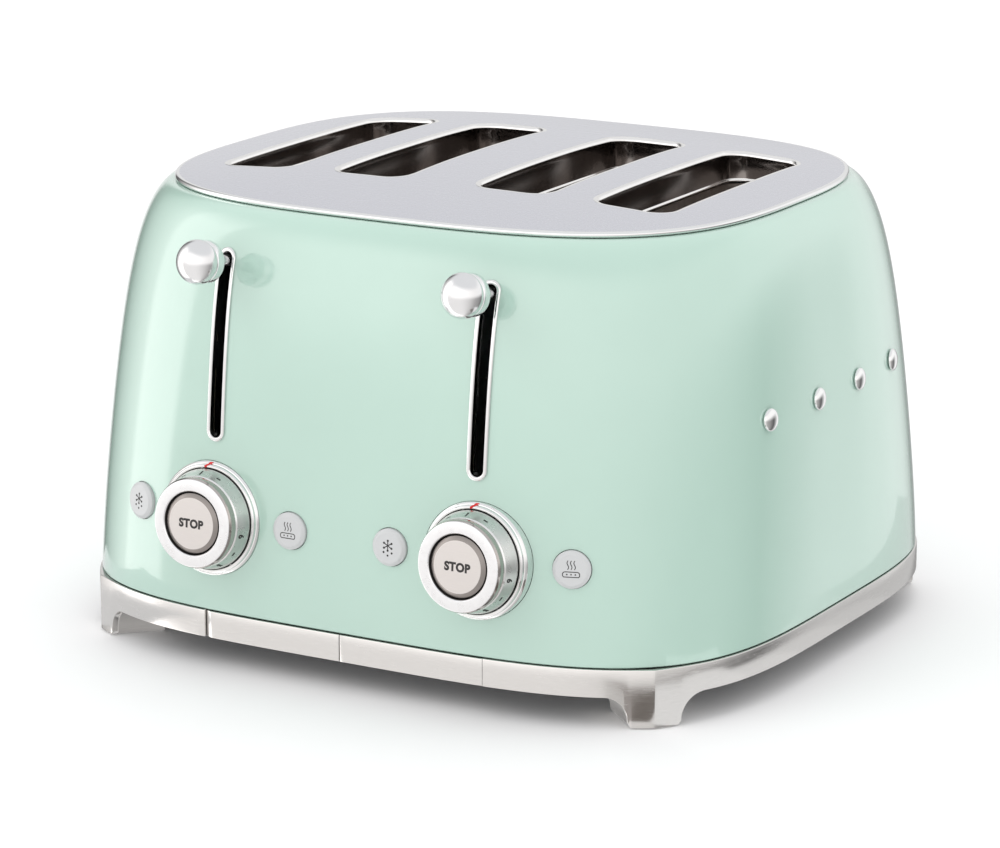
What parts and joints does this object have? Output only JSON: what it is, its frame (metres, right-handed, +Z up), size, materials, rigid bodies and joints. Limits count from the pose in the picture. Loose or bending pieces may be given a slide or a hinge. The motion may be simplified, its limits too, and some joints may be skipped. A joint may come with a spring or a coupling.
{
  "type": "pop-up toaster",
  "caption": "Retro pop-up toaster with rounded leaning painted shell, domed steel top with long bread slots, ball levers, browning dials, push buttons, crumb trays and footed base ring.",
  "frame": {"origin": "middle of the overall box at the level that the feet stand on", "axes": "+X to the right as seen from the front, -Y towards the user (controls), +Z up"},
  "size_m": [0.3352, 0.3185, 0.2117],
  "materials": {
    "paint": "gloss",
    "brushed_top": "brushed",
    "ring_metal": "fine brushed",
    "pad_rubber": "matt",
    "base_plastic": "fine texture",
    "chassis_steel": "galvanised",
    "liner_steel": "heat tinted",
    "mica": "flaky sheet",
    "rod_steel": "bright drawn",
    "spring_steel": "bright",
    "collar_metal": "satin",
    "ball_chrome": "satin chrome",
    "iron": "machined",
    "coil_copper": "enamelled wire",
    "switch_plastic": "moulded",
    "trim_chrome": "polished",
    "knob_satin": "polished and satin",
    "stop_face": "satin metallic",
    "button_grey": "satin metallic",
    "board_green": "solder mask",
    "gland_rubber": "matt",
    "screw_steel": "zinc plated"
  },
  "bodies": {
    "root": {"body_shell": "paint", "top_plate": "brushed_top", "base_ring": "ring_metal", "foot_pads": "pad_rubber", "bottom_plate": "base_plastic", "front_bulkhead": "chassis_steel", "rear_bulkhead": "chassis_steel", "centre_divider": "chassis_steel", "heat_shield_left": "chassis_steel", "heat_shield_right": "chassis_steel", "slot_liners": "liner_steel", "element_boards_left": "mica", "element_boards_right": "mica", "guide_rod_left": "rod_steel", "guide_rod_right": "rod_steel", "lift_spring_left": "spring_steel", "lift_spring_right": "spring_steel", "electromagnet_left": "coil_copper", "electromagnet_right": "coil_copper", "mains_switch_left": "switch_plastic", "mains_switch_right": "switch_plastic", "lever_slot_bezel_left": "trim_chrome", "lever_slot_bezel_right": "trim_chrome", "dial_bezel_left": "trim_chrome", "dial_bezel_right": "trim_chrome", "control_board_left": "board_green", "control_board_right": "board_green", "side_studs": "trim_chrome", "cord_gland": "gland_rubber", "base_screws": "screw_steel"},
    "carriage_left": {"carriage_left": "chassis_steel", "bread_lifter_outer_left": "rod_steel", "bread_lifter_inner_left": "rod_steel", "lever_arm_left": "chassis_steel", "lever_collar_left": "collar_metal", "lever_ball_left": "ball_chrome", "armature_left": "iron"},
    "guides_left_inward": {"bread_guides_left_inward": "rod_steel"},
    "guides_left_outward": {"bread_guides_left_outward": "rod_steel"},
    "dial_left": {"dial_knob_left": "knob_satin"},
    "stop_left": {"stop_button_left": "stop_face"},
    "defrost_left": {"defrost_button_left": "button_grey"},
    "bagel_left": {"bagel_button_left": "button_grey"},
    "tray_left": {"crumb_tray_left": "ring_metal"},
    "carriage_right": {"carriage_right": "chassis_steel", "bread_lifter_outer_right": "rod_steel", "bread_lifter_inner_right": "rod_steel", "lever_arm_right": "chassis_steel", "lever_collar_right": "collar_metal", "lever_ball_right": "ball_chrome", "armature_right": "iron"},
    "guides_right_inward": {"bread_guides_right_inward": "rod_steel"},
    "guides_right_outward": {"bread_guides_right_outward": "rod_steel"},
    "dial_right": {"dial_knob_right": "knob_satin"},
    "stop_right": {"stop_button_right": "stop_face"},
    "defrost_right": {"defrost_button_right": "button_grey"},
    "bagel_right": {"bagel_button_right": "button_grey"},
    "tray_right": {"crumb_tray_right": "ring_metal"}
  },
  "joints": [
    {"name": "lever_left", "type": "slide", "parent": "root", "child": "carriage_left", "axis": [0, 0, -1], "range_m": [0, 0.07], "stiffness_N_per_m": 60, "springref_m": -0.1, "deforming": ["lift_spring_left"]},
    {"name": "centring_left_inward", "type": "slide", "parent": "root", "child": "guides_left_inward", "axis": [1, 0, 0], "range_m": [0, 0.0066]},
    {"name": "centring_left_outward", "type": "slide", "parent": "root", "child": "guides_left_outward", "axis": [-1, 0, 0], "range_m": [0, 0.0066]},
    {"name": "dial_left", "type": "hinge", "parent": "root", "child": "dial_left", "pos_m": [-0.0668, -0.14173, 0.0684], "axis": [0, 0.9971, -0.0767], "range_deg": [0, 255]},
    {"name": "stop_press_left", "type": "slide", "parent": "root", "child": "stop_left", "axis": [0, 0.9971, -0.0767], "range_m": [0, 0.002], "stiffness_N_per_m": 700, "springref_m": -0.0015},
    {"name": "defrost_press_left", "type": "slide", "parent": "root", "child": "defrost_left", "axis": [0.3192, 0.944, -0.0838], "range_m": [0, 0.002], "stiffness_N_per_m": 700, "springref_m": -0.0015},
    {"name": "bagel_press_left", "type": "slide", "parent": "root", "child": "bagel_left", "axis": [0.0055, 0.9986, -0.052], "range_m": [0, 0.002], "stiffness_N_per_m": 700, "springref_m": -0.0015},
    {"name": "tray_slide_left", "type": "slide", "parent": "root", "child": "tray_left", "axis": [0, -1, 0], "range_m": [0, 0.21]},
    {"name": "lever_right", "type": "slide", "parent": "root", "child": "carriage_right", "axis": [0, 0, -1], "range_m": [0, 0.07], "stiffness_N_per_m": 60, "springref_m": -0.1, "deforming": ["lift_spring_right"]},
    {"name": "centring_right_inward", "type": "slide", "parent": "root", "child": "guides_right_inward", "axis": [-1, 0, 0], "range_m": [0, 0.0066]},
    {"name": "centring_right_outward", "type": "slide", "parent": "root", "child": "guides_right_outward", "axis": [1, 0, 0], "range_m": [0, 0.0066]},
    {"name": "dial_right", "type": "hinge", "parent": "root", "child": "dial_right", "pos_m": [0.0668, -0.14173, 0.0684], "axis": [0, 0.9971, -0.0767], "range_deg": [0, 255]},
    {"name": "stop_press_right", "type": "slide", "parent": "root", "child": "stop_right", "axis": [0, 0.9971, -0.0767], "range_m": [0, 0.002], "stiffness_N_per_m": 700, "springref_m": -0.0015},
    {"name": "defrost_press_right", "type": "slide", "parent": "root", "child": "defrost_right", "axis": [-0.0055, 0.9986, -0.052], "range_m": [0, 0.002], "stiffness_N_per_m": 700, "springref_m": -0.0015},
    {"name": "bagel_press_right", "type": "slide", "parent": "root", "child": "bagel_right", "axis": [-0.3192, 0.944, -0.0838], "range_m": [0, 0.002], "stiffness_N_per_m": 700, "springref_m": -0.0015},
    {"name": "tray_slide_right", "type": "slide", "parent": "root", "child": "tray_right", "axis": [0, -1, 0], "range_m": [0, 0.21]}
  ],
  "couplings": [
    {"joint": "centring_left_inward", "follows": "lever_left", "ratio": 0.0928},
    {"joint": "centring_left_outward", "follows": "lever_left", "ratio": 0.0928},
    {"joint": "centring_right_inward", "follows": "lever_right", "ratio": 0.0928},
    {"joint": "centring_right_outward", "follows": "lever_right", "ratio": 0.0928}
  ]
}
